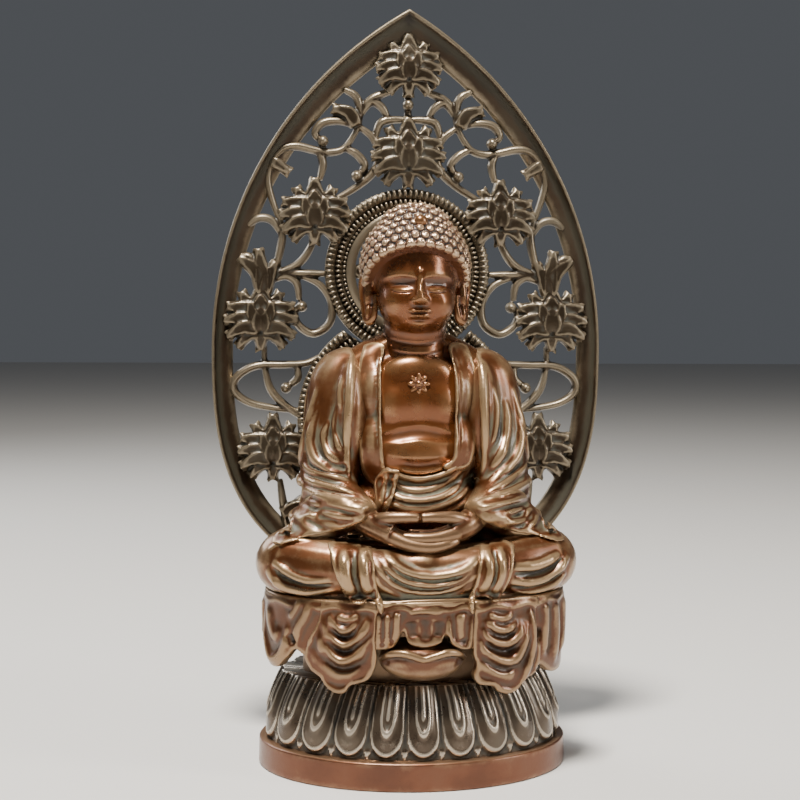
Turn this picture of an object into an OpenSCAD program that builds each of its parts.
// Seated buddha on a lotus throne with a lift-off openwork mandorla.
// Cast copper alloy, in sections that are brazed together. Millimetres.
// X is to the viewer's right, -Y is the front, +Z is up, and the origin is the
// middle of the plinth's underside.

/* [Lotus base] */
// Width of the oval plinth
plinth_w = 68.5; // [62:0.5:72]
// Depth of the oval plinth
plinth_d = 51; // [46:0.5:54]
// Height of the plain plinth band
plinth_h = 6; // [4:0.5:8]
// Height where the petal dome meets the waist
waist_z = 20; // [18:0.5:22]
// Width of the petal dome's top
waist_w = 57; // [52:1:60]
// Depth of the petal dome's top
waist_d = 36; // [32:1:40]
// Number of down-turned petals
petal_count = 22; // [18:2:26]
// Wall thickness of the hollow base castings
wall = 2.5; // [2:0.25:3.5]

/* [Throne] */
// Height of the seat's top face
seat_z = 40; // [38:0.5:42]
// Width of the seat
seat_w = 62; // [58:1:64]
// Depth of the seat
seat_d = 35; // [32:1:36]
// Lowest point of the hanging cloth
drape_low_z = 20; // [19:0.5:23]

/* [Figure] */
// Width across the knees
knee_w = 66; // [62:1:68]
// Height of the shoulders
shoulder_z = 91.5; // [88:0.5:94]
// Width across the shoulders
shoulder_w = 48; // [44:1:50]
// Height of the chin
chin_z = 96; // [94:0.5:98]
// Height of the top of the hair
crown_z = 124.5; // [122:0.5:127]
// Width of the head over the hair
head_w = 24.8; // [23:0.2:26]
// Radius of the peg that joins the head to the torso
neck_peg_r = 3; // [2.5:0.25:4]

/* [Mandorla] */
// Width of the mandorla
mandorla_w = 90; // [84:1:94]
// Height of the mandorla's tip
tip_z = 169; // [160:1:175]
// Height where the mandorla is widest
widest_z = 91; // [88:1:94]
// Height of the mandorla's lower edge
mandorla_low_z = 38; // [37:0.5:39]
// Width of the rim band
rim_w = 4.6; // [3.5:0.1:5.5]
// Thickness of the openwork
tracery_t = 3; // [2:0.25:3.5]
// Width of a vine stem
stem_w = 1.7; // [1.3:0.1:2]

/* [Halos] */
// Outer radius of the head halo
head_halo_r = 19.2; // [18:0.2:20]
// Height of the head halo's centre
head_halo_z = 109.2; // [108:0.2:111]
// Outer radius of the body halo
body_halo_r = 25.5; // [24:0.5:27]
// Height of the body halo's centre
body_halo_z = 75; // [72:0.5:78]
// Number of radial bars round the head halo
head_halo_bars = 90; // [72:6:96]

/* [Tenon] */
// Width of the mandorla's tenon
tenon_w = 12; // [10:0.5:14]
// Length of the tenon below the mandorla's edge
tenon_l = 12; // [10:0.5:12]
// Clearance round the tenon on each side
tenon_gap = 0.1; // [0.05:0.01:0.2]

/* [Hidden] */
$fn = 48;
BRONZE = [0.45, 0.24, 0.14];
OLIVE = [0.36, 0.31, 0.22];
DARK = [0.22, 0.16, 0.11];
// Depth planes of the mandorla
tracery_y = 15.6;
rim_front_y = 13.8;
// The seat sits forward so that the mandorla can stand behind it
seat_y = -4.5;
torso_y = 0;
head_y = -1.8;
hand_z = 53.8;
chest_front_y = -10.5;
peg_l = 9;
socket_wall = 2.2;
flat_ring_r = head_halo_r - 4.8;
lip_w = 1.2;
petal_t = 1.4;
// The hair cap and the size of one curl
cap_r = head_w / 2 - 1;
cap_centre = [0, head_y + 0.9, 108.6];
curl_r = 1.25;
// The petals' feet stand this far inside the plinth's edge
dome_rim_gap = 1.2;

// Stems of the upper scrollwork on one side, as [x, z] points
TOP_STEMS = [
    [[30, 123], [31, 125.5], [32, 130], [31, 134], [29, 137], [25.5, 137.5], [21, 137], [18, 136.5],
     [14.5, 137.5], [12, 142.5]],
    [[12, 142.5], [16, 143.5], [20, 143], [21.5, 140.5], [19.5, 138.8]],
    [[11.5, 142.5], [8, 140], [6.5, 136], [8, 132], [12, 128.5], [17, 125.5]],
    [[15, 137.5], [12, 136], [10, 133.5], [11.5, 131]],
    [[11.5, 142], [11, 146.5], [12, 149.5], [15, 151]],
    [[11.5, 146], [8, 149], [3.5, 150.5]],
    [[11, 145], [8.5, 147.5], [6, 146.5], [4.5, 143.5]],
    [[7.5, 140], [6, 143.5], [0, 144]],
    [[21, 137], [19.5, 134], [20, 128]]];
// Stems of the side scrollwork on one side
SIDE_STEMS = [
    [[29.7, 121.6], [29, 117.5], [29.5, 113], [31, 108.5]],
    [[37, 119.5], [34, 121], [31, 120.5], [29, 117.5]],
    [[31, 108.5], [26.5, 110], [23.5, 112.5], [20, 118]],
    [[31, 108.5], [25, 108.5], [18.6, 108.5]],
    [[24.5, 108], [20, 106], [17.5, 102], [18, 97], [22, 95], [25.5, 97.5], [25.5, 101]],
    [[31, 107], [28, 108], [25.5, 106.5], [25, 102.5]],
    [[41, 112.5], [36.5, 112.5], [34, 109], [33, 103]],
    [[33, 93], [33, 87.5]],
    [[18, 90], [22.5, 88], [28, 87.5], [36, 87], [40.5, 83], [39, 79.5], [34, 77.5], [22, 77]],
    [[33, 87.5], [31.5, 82], [28, 78], [23, 74.5]],
    [[25.5, 87], [25.5, 84], [28, 82.5]],
    [[29, 61], [28.5, 55], [27, 48]],
    [[23, 57], [26.5, 54.5], [27, 49], [30, 46]]];
// Ball ends of the curled stems
TOP_BALLS = [[19.5, 138.8], [11.6, 131]];
SIDE_BALLS = [[25, 101.2], [28, 82.2]];

// ---- shared shapes ----

function oval(w, d, n = 56) = [for (i = [0:n - 1]) [w / 2 * cos(360 * i / n), d / 2 * sin(360 * i / n)]];

// One point of a smooth curve through four neighbours
function spline_point(a, b, c, d, t) =
    0.5 * (2 * b + (c - a) * t + (2 * a - 5 * b + 4 * c - d) * t * t + (3 * b - a - 3 * c + d) * t * t * t);

function smooth_path(p, steps = 3) = let (last = len(p) - 1) concat(
    [for (i = [0:last - 1], s = [0:steps - 1])
        spline_point(p[max(i - 1, 0)], p[i], p[i + 1], p[min(i + 2, last)], s / steps)],
    [p[last]]);

function side_step(p, i) = let (d = p[min(i + 1, len(p) - 1)] - p[max(i - 1, 0)]) [-d.y, d.x] / norm(d);

// Outline of a band of constant width along a path
function band(p, w) = concat(
    [for (i = [0:len(p) - 1]) p[i] + side_step(p, i) * w / 2],
    [for (i = [len(p) - 1:-1:0]) p[i] - side_step(p, i) * w / 2]);

// Stands a flat shape upright: its Y becomes height, from depth y to y + t
module upright(y, t) {
    translate([0, y + t, 0]) rotate([90, 0, 0]) linear_extrude(t) children();
}

module stems(paths) {
    for (p = paths) polygon(band(smooth_path(p), stem_w));
}

// Half width of the mandorla at height z, drawn in by an inset
function arch_offset(inset) = let (h = mandorla_w / 2 - inset, v = tip_z - 1.6 * inset - widest_z)
    (v * v - h * h) / (2 * h);
function mandorla_upper(inset, n) = let (h = mandorla_w / 2 - inset, a = arch_offset(inset), r = h + a,
    top = asin((tip_z - 1.6 * inset - widest_z) / r))
    [for (i = [0:n]) [r * cos(top * i / n) - a, widest_z + r * sin(top * i / n)]];
function mandorla_lower(inset, n) = let (h = mandorla_w / 2 - inset, v = widest_z - mandorla_low_z - inset)
    [for (i = [0:n]) let (t = 90 * i / n)
        [h * pow(sin(t), 2 / 2.6), widest_z - v * pow(cos(t), 2 / 2.6)]];
function mandorla_half(inset) = let (low = mandorla_lower(inset, 12), up = mandorla_upper(inset, 12))
    concat([for (i = [0:11]) low[i]], up);
function mandorla_outline(inset) = let (h = mandorla_half(inset), last = len(h) - 1)
    concat(h, [for (i = [last - 1:-1:1]) [-h[i].x, h[i].y]]);

// ---- lotus base ----

module plinth_band() {
    color(BRONZE) difference() {
        linear_extrude(plinth_h) polygon(oval(plinth_w, plinth_d));
        translate([0, 0, -1]) linear_extrude(plinth_h + 2)
            polygon(oval(plinth_w - 2 * wall, plinth_d - 2 * wall));
    }
}

module sealing_plate() {
    color(DARK) translate([0, 0, 0.6]) linear_extrude(1)
        polygon(oval(plinth_w - 2 * wall, plinth_d - 2 * wall));
}

module dome_solid(inset, low, high) {
    rim_inset = dome_rim_gap + inset;
    hull() {
        translate([0, 0, low]) linear_extrude(0.01)
            polygon(oval(plinth_w - 2 * rim_inset, plinth_d - 2 * rim_inset, 40));
        translate([0, 0, high - 0.01]) linear_extrude(0.01)
            polygon(oval(waist_w - 2 * inset, waist_d - 2 * inset, 40));
    }
}

module petal_dome() {
    color(OLIVE) difference() {
        dome_solid(petal_t, plinth_h, waist_z);
        dome_solid(petal_t + wall, plinth_h - 0.02, waist_z + 0.02);
    }
}

// Leaf outline, tip down, its top edge at the origin
function leaf(w, l) = concat([[-w * 0.3, 0]],
    [for (i = [0:8]) [-w / 2 * cos(180 * i / 8), -l * 0.55 - l * 0.45 * sin(180 * i / 8)]],
    [[w * 0.3, 0]]);

// Equal steps of t give roughly equal steps along the oval
function even_angle(t) = t + 24 * (plinth_w - plinth_d) / (plinth_w + plinth_d) * sin(2 * t);

module lotus_petals() {
    slope = atan((plinth_w / 2 - dome_rim_gap - waist_w / 2) / (waist_z - plinth_h)) + 3;
    petal_w = PI * (plinth_w + plinth_d) / 2 / petal_count - 0.5;
    color(OLIVE) for (i = [0:petal_count - 1]) {
        a = even_angle(360 * (i + 0.5) / petal_count - 90);
        heading = atan2(sin(a) / plinth_d, cos(a) / plinth_w);
        translate([(waist_w / 2 - petal_t) * cos(a), (waist_d / 2 - petal_t) * sin(a), waist_z - 0.4])
            rotate([0, 0, heading + 90]) rotate([90 - slope, 0, 0])
                linear_extrude(petal_t) polygon(leaf(petal_w, waist_z - plinth_h - 0.6));
    }
}

module waist_column() {
    color(DARK) difference() {
        translate([0, -1, waist_z]) linear_extrude(seat_z - 8 - waist_z)
            polygon(oval(waist_w - 8, waist_d - 8, 40));
        translate([0, -1, waist_z - 1]) linear_extrude(seat_z - 6 - waist_z)
            polygon(oval(waist_w - 8 - 2 * wall, waist_d - 8 - 2 * wall, 40));
    }
}

// ---- throne and hanging cloth ----

module throne_seat() {
    color(BRONZE) translate([0, seat_y, seat_z - 8]) linear_extrude(8) polygon(oval(seat_w, seat_d));
}

module tenon_socket() {
    color(OLIVE) difference() {
        translate([-tenon_w / 2 - socket_wall, tracery_y - socket_wall, mandorla_low_z - tenon_l - 2])
            cube([tenon_w + 2 * socket_wall, tracery_t + 2 * socket_wall, tenon_l + 1.9]);
        translate([-tenon_w / 2 - tenon_gap, tracery_y - tenon_gap, mandorla_low_z - tenon_l - 0.1])
            cube([tenon_w + 2 * tenon_gap, tracery_t + 2 * tenon_gap, tenon_l + 1]);
    }
    color(OLIVE) translate([-tenon_w / 2 - socket_wall, 9, mandorla_low_z - tenon_l - 2])
        cube([tenon_w + 2 * socket_wall, tracery_y - socket_wall - 9, 6]);
}

// The wall of cloth round the seat, cut by a front view of each hanging piece
module cloth_wall(thick) {
    translate([0, seat_y, drape_low_z - 1]) linear_extrude(seat_z - drape_low_z + 1) difference() {
        polygon(oval(seat_w + 2 * thick, seat_d + 2 * thick, 64));
        polygon(oval(seat_w + 0.02, seat_d + 0.02, 64));
    }
}

module front_cut(points) {
    translate([0, -10, 0]) rotate([90, 0, 0]) linear_extrude(30) polygon(points);
}

// A hanging lobe with a round lower edge, from height top down to low
function lobe(x, w, low) = concat([[x + w / 2, seat_z]],
    [for (i = [0:10]) [x + w / 2 * cos(18 * i), low + w / 2 - w / 2 * sin(18 * i)]],
    [[x - w / 2, seat_z]]);

module nested_folds(x, y, z, radii) {
    for (r = radii) upright(y, 3) translate([x, z]) difference() {
        circle(r);
        circle(r - 1);
        translate([-r - 1, 0]) square([2 * r + 2, r + 1]);
    }
}

module drape_lobe(side) {
    color(BRONZE) {
        intersection() {
            cloth_wall(2);
            front_cut(lobe(side * 17, 16, drape_low_z));
        }
        nested_folds(side * 17, -23.4, drape_low_z + 9, [7.5, 5.2, 3]);
    }
}
module drape_lobe_left() { drape_lobe(-1); }
module drape_lobe_right() { drape_lobe(1); }

module drape_side(side) {
    color(BRONZE) intersection() {
        cloth_wall(1.6);
        translate([0, 20, 0]) rotate([90, 0, 0]) linear_extrude(60)
            polygon([for (p = [[25.2, 40], [25.2, 24], [28, 22.5], [31, 24.5], [34, 23.5], [34, 40]])
                [side * p.x, p.y]]);
        translate([-50, -40, 0]) cube([100, 45, 60]);
    }
}
module drape_side_left() { drape_side(-1); }
module drape_side_right() { drape_side(1); }

module drape_centre() {
    color(BRONZE) intersection() {
        cloth_wall(1.4);
        front_cut([[-8.9, seat_z], [-8.9, 30], [-6, 27], [-3, 29.5], [0, 31], [3, 29.5], [6, 27], [8.9, 30],
            [8.9, seat_z]]);
    }
}

module drape_back() {
    color(BRONZE) intersection() {
        cloth_wall(1.2);
        translate([-24, 4, 26]) cube([48, 9.2, 20]);
        translate([-31, 5.1, 26]) cube([62, 20, 20]);
    }
}

module centre_leaf() {
    color(BRONZE) translate([0, -21, 29.5]) rotate([74, 0, 0]) linear_extrude(1.8)
        polygon(concat([[-8, 0]], [for (i = [0:10]) [-9 * cos(18 * i), -2 - 5.5 * sin(18 * i)]], [[8, 0]]));
}

// ---- figure ----

module limb(a, ra, b, rb) {
    hull() {
        translate(a) sphere(ra, $fn = 20);
        translate(b) sphere(rb, $fn = 20);
    }
}

module crossed_legs() {
    k = knee_w / 2;
    color(BRONZE) intersection() {
        union() {
            for (s = [-1, 1]) {
                limb([s * 12, 3, 47], 7.5, [s * (k - 6.5), -10, 45.6], 6.4);
                limb([s * (k - 6.5), -10, 45.6], 6.4, [s * 4, -17.5, 45.5], 5.6);
            }
            limb([-9, -2, 45.5], 7, [9, -2, 45.5], 7);
        }
        translate([-60, -60, seat_z]) cube([120, 120, 40]);
    }
}

module knee_folds(side) {
    color(BRONZE) for (r = [9.5, 7, 4.5])
        translate([side * (knee_w / 2 - 10.5), -15.6, 50.5]) rotate([68, 0, 0])
            linear_extrude(1.6) difference() {
            circle(r);
            circle(r - 1.1);
            translate([-12, -1]) square([24, 14]);
        }
}
module knee_folds_left() { knee_folds(-1); }
module knee_folds_right() { knee_folds(1); }

module lap_robe() {
    color(BRONZE) for (i = [0:3])
        translate([0, -20 - i * 0.7, 50.2 - i * 2.4]) rotate([74, 0, 0])
            linear_extrude(1.8) scale([1, 0.45]) difference() {
            circle(12.5 - i * 1.2);
            circle(10.9 - i * 1.2);
            translate([-14, 0]) square([28, 14]);
        }
}

module robe_hem(side) {
    color(BRONZE) translate([side * 15.5, -21.6, 49.5]) rotate([84, 0, side * 10]) linear_extrude(2)
        polygon(leaf(7, 8.6));
}
module robe_hem_left() { robe_hem(-1); }
module robe_hem_right() { robe_hem(1); }

// The trunk under the robe, from its lower edge at waist height
module trunk() {
    half = shoulder_w / 2;
    intersection() {
        hull() {
            for (s = [-1, 1]) translate([s * (half - 8), torso_y, shoulder_z - 8]) sphere(7.6, $fn = 24);
            translate([0, torso_y - 1, 72]) scale([1.55, 1, 1]) sphere(10.2, $fn = 24);
            translate([0, torso_y, 56]) scale([1.5, 1, 0.8]) sphere(10, $fn = 24);
        }
        translate([-40, -40, seat_z + 12]) cube([80, 80, 60]);
    }
}

module torso() {
    color(BRONZE) difference() {
        union() {
            trunk();
            translate([0, head_y + 1.5, shoulder_z - 4]) cylinder(h = 6, r1 = 9, r2 = 6);
        }
        translate([0, head_y + 1.5, shoulder_z - peg_l]) cylinder(h = peg_l + 5, r = neck_peg_r);
    }
}

module waist_folds() {
    color(BRONZE) for (i = [0:3])
        upright(-13.2 - i * 0.7, 2.6) translate([0, 66.5 - i * 2.3]) scale([1, 0.42]) difference() {
            circle(8.6);
            circle(6);
            translate([-10, 0]) square([20, 10]);
        }
}

module lapel(side) {
    path = smooth_path([[7.5, 91.5], [10.5, 84], [11.7, 74], [12, 62]], 3);
    color(BRONZE) upright(chest_front_y - 1.3, 3.4)
        polygon([for (p = band(path, 4.8)) [side * p.x, p.y]]);
}
module lapel_left() { lapel(-1); }
module lapel_right() { lapel(1); }

module sleeve(side) {
    half = shoulder_w / 2;
    color(BRONZE) difference() {
        union() {
            limb([side * (half - 6), torso_y + 1, shoulder_z - 7], 6, [side * (half - 4.6), -1.5, 63], 6);
            limb([side * (half - 4.6), -1.5, 63], 6, [side * 12.5, -14, 55], 5);
        }
        trunk();
    }
}
module sleeve_left() { sleeve(-1); }
module sleeve_right() { sleeve(1); }

// A small flower with eight petals stands on the chest
module chest_rosette() {
    color(BRONZE) upright(chest_front_y - 0.9, 1.6) translate([0, 84.3]) {
        for (i = [0:7]) rotate(45 * i) translate([1.7, 0]) circle(0.85);
        circle(1.2);
    }
}

module hand(side) {
    tuck = side < 0 ? 0 : 2.2;
    color(BRONZE) {
        hull() {
            translate([side * 8.6, -17.5, hand_z + tuck / 2]) sphere(2.4, $fn = 20);
            translate([side * -3, -20.6, hand_z - 2.6 + tuck]) sphere(1.5, $fn = 20);
            translate([side * 1, -16, hand_z - 1.6 + tuck]) sphere(1.6, $fn = 20);
        }
        limb([side * 7, -18.2, hand_z + 1.4], 1.5, [side * 0.6, -19, hand_z + 2.4], 1.05);
    }
}
module hand_left() { hand(-1); }
module hand_right() { hand(1); }

module skull(n) {
    translate([0, head_y, (chin_z + crown_z - 9) / 2]) scale([0.92, 1, 1.05]) sphere(11, $fn = n);
}

module head() {
    color(BRONZE) {
        skull(48);
        translate([0, head_y - 2.6, chin_z + 4.6]) scale([1.25, 1.1, 0.8]) sphere(6);
        translate([0, head_y + 1.5, shoulder_z + 1]) cylinder(h = 9, r = 6);
        translate([0, head_y + 1.5, shoulder_z - peg_l + 0.5]) cylinder(h = peg_l + 2, r = neck_peg_r);
    }
}

module ear(side) {
    color(BRONZE) translate([side * 11.2, head_y + 1.6, 101.6]) scale([0.26, 0.48, 1.1]) sphere(6);
}
module ear_left() { ear(-1); }
module ear_right() { ear(1); }

// Rows of small curls over a cap, open at the face
module hair_curls() {
    row_tilt = 12.5;
    color(DARK) difference() {
        union() {
            translate(cap_centre) sphere(cap_r, $fn = 28);
            for (row = [0:6]) {
                count = floor(29 * cos(row * row_tilt));
                for (i = [0:count - 1])
                    translate(cap_centre) rotate([0, -row * row_tilt - 4, 360 * (i + row / 2) / count])
                        translate([cap_r, 0, 0]) sphere(curl_r, $fn = 6);
            }
        }
        translate([0, head_y - 32, 90]) rotate([-16, 0, 0]) cube([60, 48, 38], center = true);
        translate([-30, -30, 80]) cube([60, 60, 21.5]);
        skull(12);
    }
}

module crown_bump() {
    color(DARK) difference() {
        translate([0, head_y + 1, crown_z - 6.2]) scale([1.25, 1.15, 0.95]) sphere(6.2);
        translate(cap_centre) sphere(cap_r);
    }
}

module hair_jewel() {
    color(BRONZE) translate([0, head_y - 8.4, 118.4]) sphere(1.5);
}

// ---- mandorla ----

module mandorla_rim() {
    color(OLIVE) {
        upright(tracery_y, tracery_t) difference() {
            polygon(mandorla_outline(0));
            polygon(mandorla_outline(rim_w));
        }
        upright(rim_front_y, tracery_y - rim_front_y + 0.5) difference() {
            polygon(mandorla_outline(0));
            polygon(mandorla_outline(lip_w));
        }
    }
}

module vines_top() {
    color(OLIVE) upright(tracery_y + 0.3, tracery_t - 0.6) {
        for (m = [0, 1]) mirror([m, 0]) {
            stems(TOP_STEMS);
            for (b = TOP_BALLS) translate(b) circle(1.3);
        }
        translate([-0.9, 140]) square([1.8, 14]);
    }
}

module vines_side(side) {
    color(OLIVE) upright(tracery_y + 0.3, tracery_t - 0.6) mirror([side < 0 ? 1 : 0, 0]) {
        stems(SIDE_STEMS);
        for (b = SIDE_BALLS) translate(b) circle(1.3);
    }
}
module vines_left() { vines_side(-1); }
module vines_right() { vines_side(1); }

// Lotus blossom seen from the side: an upright bud, flanking petals and two
// drooping rows
function petal(w, l) = [[0, 0], [w * 0.38, l * 0.2], [w / 2, l * 0.5], [w * 0.3, l * 0.8], [0, l],
    [-w * 0.3, l * 0.8], [-w / 2, l * 0.5], [-w * 0.38, l * 0.2]];

module blossom(x, z, size) {
    color(OLIVE) {
        upright(tracery_y - 0.3, tracery_t + 0.2) translate([x, z]) {
            for (a = [-104, -72, -38, 38, 72, 104]) rotate(a) polygon(petal(size * 0.26, size * 0.52));
            polygon(petal(size * 0.34, size * 0.58));
            translate([-size * 0.09, -size * 0.52]) square([size * 0.18, size * 0.5]);
        }
        upright(tracery_y - 1.3, 1.6) translate([x, z - size * 0.06]) {
            for (a = [-130, -88, -30, 30, 88, 130]) rotate(a) polygon(petal(size * 0.2, size * 0.36));
            circle(size * 0.12);
        }
    }
}
module blossom_top() { blossom(0, 156, 14); }
module blossom_upper_centre() { blossom(0, 135, 15.5); }
module blossom_upper_left() { blossom(-21.5, 122, 14.5); }
module blossom_upper_right() { blossom(21.5, 122, 14.5); }
module blossom_side_left() { blossom(-34, 97, 14.5); }
module blossom_side_right() { blossom(34, 97, 14.5); }
module blossom_lower_left() { blossom(-31, 67, 14.5); }
module blossom_lower_right() { blossom(31, 67, 14.5); }

// A ring with a toothed outer edge, for the radial bars
function toothed(r, n) = [for (i = [0:2 * n - 1])
    (i % 2 == 0 ? r : r - 0.5) * [cos(180 * i / n), sin(180 * i / n)]];

module head_halo_ring() {
    color(OLIVE) {
        upright(tracery_y - 0.3, tracery_t) translate([0, head_halo_z]) difference() {
            polygon(toothed(head_halo_r, head_halo_bars / 2));
            circle(flat_ring_r - 2.4);
        }
        upright(tracery_y - 0.9, 1) translate([0, head_halo_z]) difference() {
            circle(flat_ring_r + 0.7);
            circle(flat_ring_r);
        }
    }
}

module head_halo_rosette() {
    color(OLIVE) upright(tracery_y + 0.5, tracery_t - 1) translate([0, head_halo_z]) {
        for (i = [0:7]) rotate(45 * i + 90) translate([0, 2]) polygon(petal(6.6, flat_ring_r - 4.2));
        circle(4);
    }
}

module body_halo_ring() {
    color(OLIVE) upright(tracery_y - 0.3, tracery_t) difference() {
        translate([0, body_halo_z]) difference() {
            circle(body_halo_r);
            circle(body_halo_r - 6.4);
        }
        translate([0, head_halo_z]) circle(head_halo_r + 0.02);
    }
}

module body_halo_rays() {
    color(OLIVE) upright(tracery_y + 0.5, tracery_t - 1) difference() {
        translate([0, body_halo_z]) {
            for (i = [0:11]) rotate(30 * i) translate([0, 4]) polygon(petal(5.2, body_halo_r - 10));
            circle(6);
        }
        translate([0, head_halo_z]) circle(head_halo_r + 0.02);
    }
}

module mandorla_tenon() {
    color(OLIVE) translate([-tenon_w / 2, tracery_y, mandorla_low_z - tenon_l])
        cube([tenon_w, tracery_t, tenon_l + 8.6]);
}

plinth_band();
sealing_plate();
petal_dome();
lotus_petals();
waist_column();
throne_seat();
tenon_socket();
drape_lobe_left();
drape_lobe_right();
drape_side_left();
drape_side_right();
drape_centre();
drape_back();
centre_leaf();
crossed_legs();
knee_folds_left();
knee_folds_right();
lap_robe();
robe_hem_left();
robe_hem_right();
torso();
waist_folds();
lapel_left();
lapel_right();
sleeve_left();
sleeve_right();
chest_rosette();
hand_left();
hand_right();
head();
ear_left();
ear_right();
hair_curls();
crown_bump();
hair_jewel();
mandorla_rim();
vines_top();
vines_left();
vines_right();
blossom_top();
blossom_upper_centre();
blossom_upper_left();
blossom_upper_right();
blossom_side_left();
blossom_side_right();
blossom_lower_left();
blossom_lower_right();
head_halo_ring();
head_halo_rosette();
body_halo_ring();
body_halo_rays();
mandorla_tenon();
